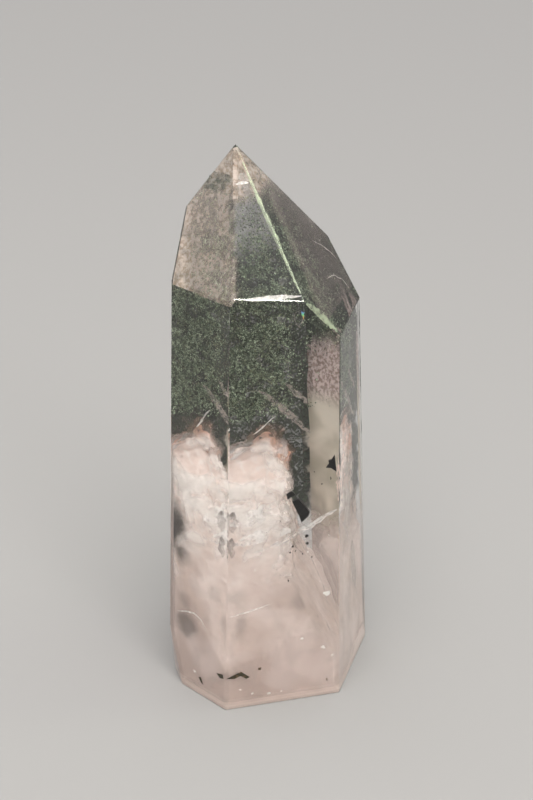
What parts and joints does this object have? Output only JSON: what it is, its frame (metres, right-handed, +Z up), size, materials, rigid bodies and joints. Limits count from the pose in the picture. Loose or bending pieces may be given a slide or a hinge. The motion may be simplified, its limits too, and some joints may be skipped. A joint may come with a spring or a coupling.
{
  "type": "polished quartz generator point",
  "caption": "Free-standing polished quartz tower: clear six-sided prism with a faceted point, milky and mossy green inclusions inside, and a flat ground base.",
  "frame": {"origin": "on the ground base, under the middle of the crystal's outline", "axes": "+Z up along the crystal towards its point, -Y towards the broad front side that the picture shows, +X to the right"},
  "size_m": [0.0326, 0.0344, 0.0919],
  "materials": {
    "clear_quartz": "polished clear rock crystal with inclusions"
  },
  "bodies": {
    "root": {"quartz_point": "clear_quartz"}
  },
  "joints": []
}
